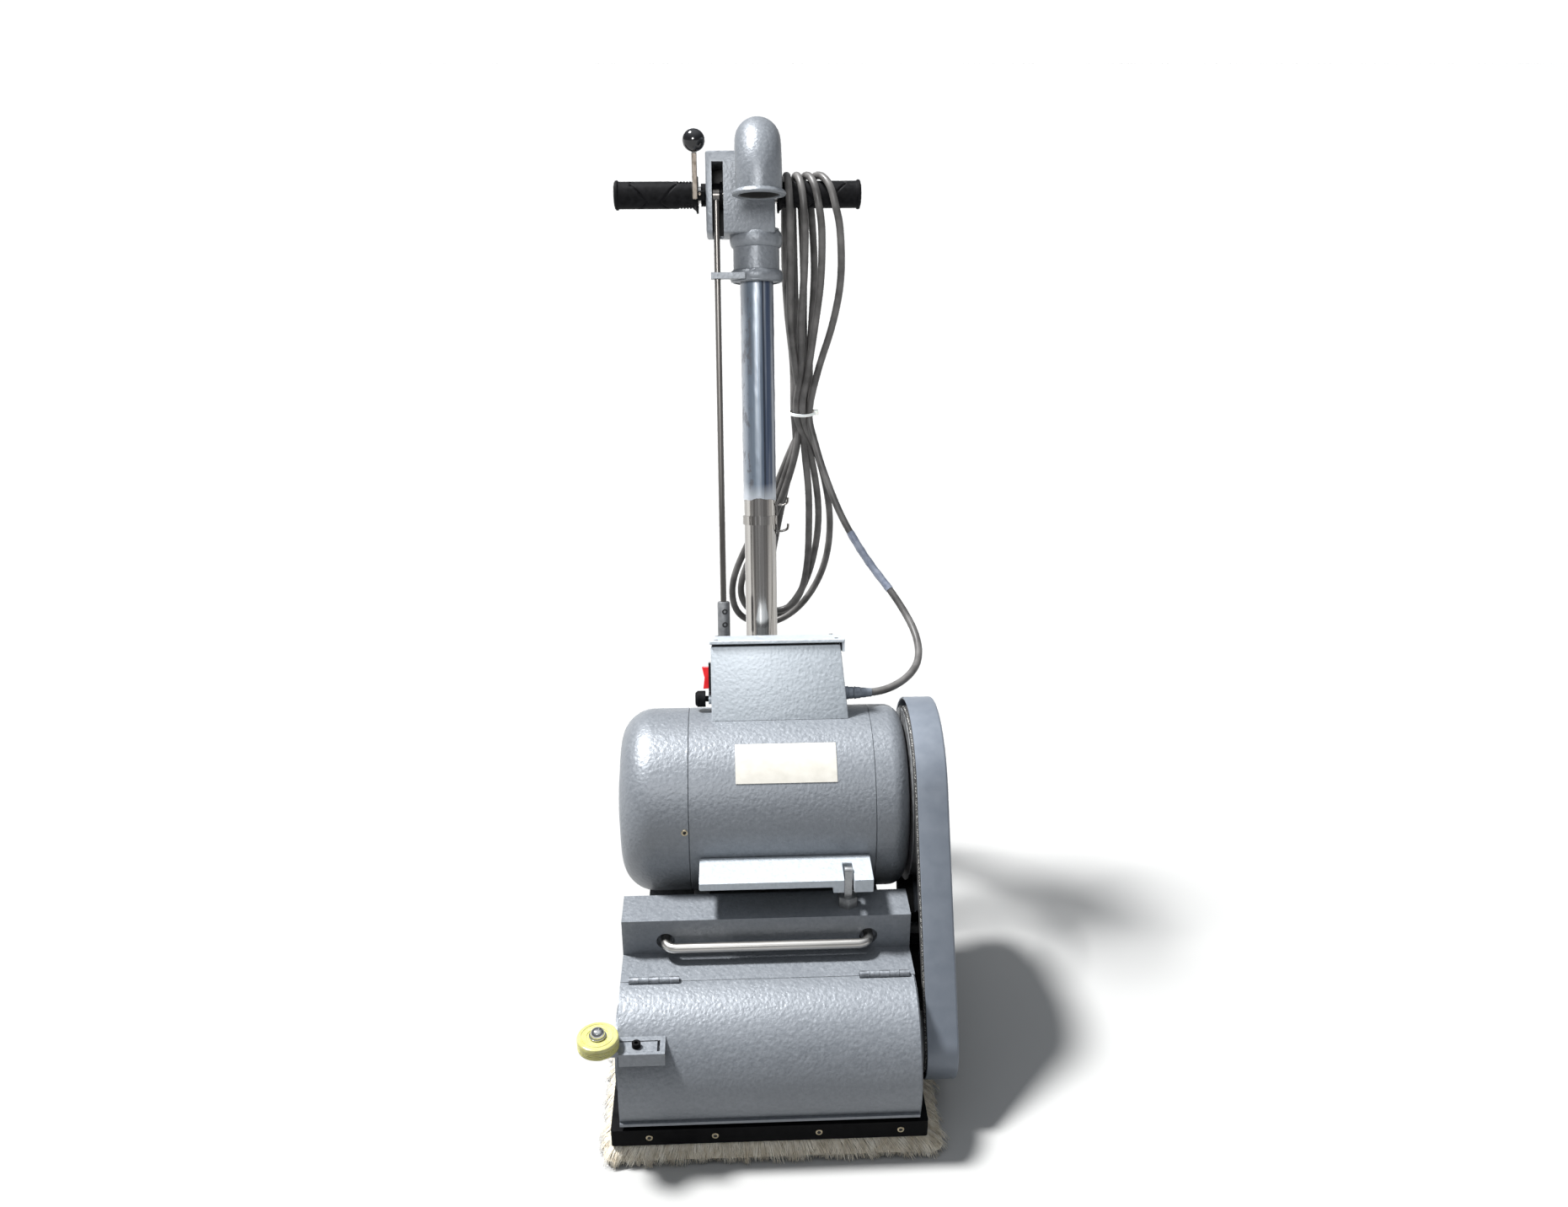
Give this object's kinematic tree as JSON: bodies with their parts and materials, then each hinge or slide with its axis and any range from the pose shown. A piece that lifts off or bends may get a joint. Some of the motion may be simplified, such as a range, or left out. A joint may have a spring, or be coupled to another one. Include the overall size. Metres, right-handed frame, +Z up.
{
  "type": "floor drum sander",
  "caption": "Upright floor sander: sanding drum in a hinged cast housing with bristle skirt, belt-driven motor, suction fan, wheels, and a tall tube handle with lever and dust elbow.",
  "frame": {"origin": "on the floor at the middle of the machine's overall width and length, cord left out", "axes": "+Z up, -Y towards the front with the drum door, +X towards the belt guard"},
  "size_m": [0.4416, 0.7421, 1.1047],
  "materials": {
    "hammertone": "silver-grey hammertone paint",
    "steel": "satin",
    "chrome": "polished",
    "black_metal": "black paint",
    "black_plastic": "gloss",
    "rubber": "matte",
    "bristle": "pale bristles",
    "roller": "translucent yellow",
    "abrasive": "abrasive grit",
    "cast": "bare casting",
    "copper": "windings in varnish",
    "film": "blue-grey protective film",
    "red": "gloss",
    "cord": "grey sheath",
    "white": "white nylon"
  },
  "bodies": {
    "frame": {"drum_housing": "hammertone", "belt_guard": "hammertone", "motor_shell": "hammertone", "motor_end_left": "hammertone", "motor_end_right": "hammertone", "motor_lug": "hammertone", "terminal_box": "hammertone", "box_lid": "hammertone", "head_casting": "hammertone", "dust_elbow": "hammertone", "hinge_left": "steel", "hinge_right": "steel", "tension_bolt": "steel", "handlebar": "steel", "handle_tube": "chrome", "cord_hooks": "chrome", "base_band": "black_metal", "guard_bracket": "black_metal", "switch_bezel": "black_plastic", "cord_plug": "black_plastic", "drive_belt": "rubber", "box_gasket": "rubber", "grip_left": "rubber", "grip_right": "rubber", "bristle_skirt": "bristle", "cord_gland": "cast", "rear_chassis": "cast", "motor_base": "cast", "fan_scroll": "cast", "dust_duct": "cast", "motor_stator": "copper", "film_sleeve": "film", "cord_run": "cord", "cord_hank": "cord", "cable_tie": "white"},
    "door": {"front_door": "hammertone", "roller_channel": "hammertone"},
    "roller_arm": {"roller_arm": "hammertone", "clamp_screw": "black_metal", "roller_stud": "chrome"},
    "roller": {"guide_roller": "roller"},
    "carry_bar": {"carry_bar": "steel"},
    "drum": {"drum_core": "rubber", "abrasive_sleeve": "abrasive", "drum_pulley": "cast"},
    "motor_shaft": {"motor_rotor": "steel", "motor_pulley": "cast"},
    "fan": {"fan_rotor": "cast", "fan_pulley": "cast"},
    "carriage": {"wheel_carriage": "cast"},
    "wheel_left": {"wheel_left": "rubber"},
    "wheel_right": {"wheel_right": "rubber"},
    "lever": {"lever_hub": "black_metal", "lever_strip": "steel", "lever_ball": "black_plastic"},
    "rod": {"control_rod": "steel", "rod_coupling": "cast"},
    "rocker": {"rocker_switch": "red"},
    "button": {"reset_button": "black_plastic"}
  },
  "joints": [
    {"name": "door_hinge", "type": "hinge", "parent": "frame", "child": "door", "pos_m": [-0.00325, -0.262, 0.1842], "axis": [-1, 0, 0], "range_deg": [0, 100]},
    {"name": "arm_slide", "type": "slide", "parent": "door", "child": "roller_arm", "axis": [-1, 0, 0], "range_m": [0, 0.018]},
    {"name": "roller_spin", "type": "hinge", "parent": "roller_arm", "child": "roller", "pos_m": [-0.19725, -0.342, 0.166], "axis": [0, 0, 1], "continuous": true},
    {"name": "bar_slide", "type": "slide", "parent": "frame", "child": "carry_bar", "axis": [0, -1, 0], "range_m": [0, 0.022]},
    {"name": "drum_spin", "type": "hinge", "parent": "frame", "child": "drum", "pos_m": [-0.00325, -0.262, 0.0855], "axis": [1, 0, 0], "continuous": true},
    {"name": "motor_spin", "type": "hinge", "parent": "frame", "child": "motor_shaft", "pos_m": [-0.00325, -0.038, 0.293], "axis": [1, 0, 0], "continuous": true},
    {"name": "fan_spin", "type": "hinge", "parent": "frame", "child": "fan", "pos_m": [-0.00325, -0.072, 0.098], "axis": [1, 0, 0], "continuous": true},
    {"name": "carriage_tilt", "type": "hinge", "parent": "frame", "child": "carriage", "pos_m": [-0.00325, -0.06455, 0.07489], "axis": [1, 0, 0], "range_deg": [0, 7]},
    {"name": "wheel_left_spin", "type": "hinge", "parent": "carriage", "child": "wheel_left", "pos_m": [-0.11125, 0.02196, 0.05008], "axis": [1, 0, 0], "continuous": true},
    {"name": "wheel_right_spin", "type": "hinge", "parent": "carriage", "child": "wheel_right", "pos_m": [0.10475, 0.02196, 0.05008], "axis": [1, 0, 0], "continuous": true},
    {"name": "lever_turn", "type": "hinge", "parent": "frame", "child": "lever", "pos_m": [-0.06325, 0.32608, 1.004], "axis": [1, 0, 0], "range_deg": [-21, 0]},
    {"name": "rod_slide", "type": "slide", "parent": "frame", "child": "rod", "axis": [0, 0.2756, 0.9613], "range_m": [0, 0.011]},
    {"name": "rocker_tilt", "type": "hinge", "parent": "frame", "child": "rocker", "pos_m": [-0.06625, 0.00264, 0.44699], "axis": [0, 0.9272, -0.3746], "range_deg": [0, 12]},
    {"name": "button_press", "type": "slide", "parent": "frame", "child": "button", "axis": [1, 0, 0], "range_m": [0, 0.003], "stiffness_N_per_m": 300}
  ],
  "couplings": [
    {"joint": "motor_spin", "follows": "drum_spin", "ratio": 0.3273},
    {"joint": "fan_spin", "follows": "drum_spin", "ratio": 1.5},
    {"joint": "lever_turn", "follows": "carriage_tilt", "ratio": -3},
    {"joint": "rod_slide", "follows": "carriage_tilt", "m_per_rad": 0.0898}
  ]
}
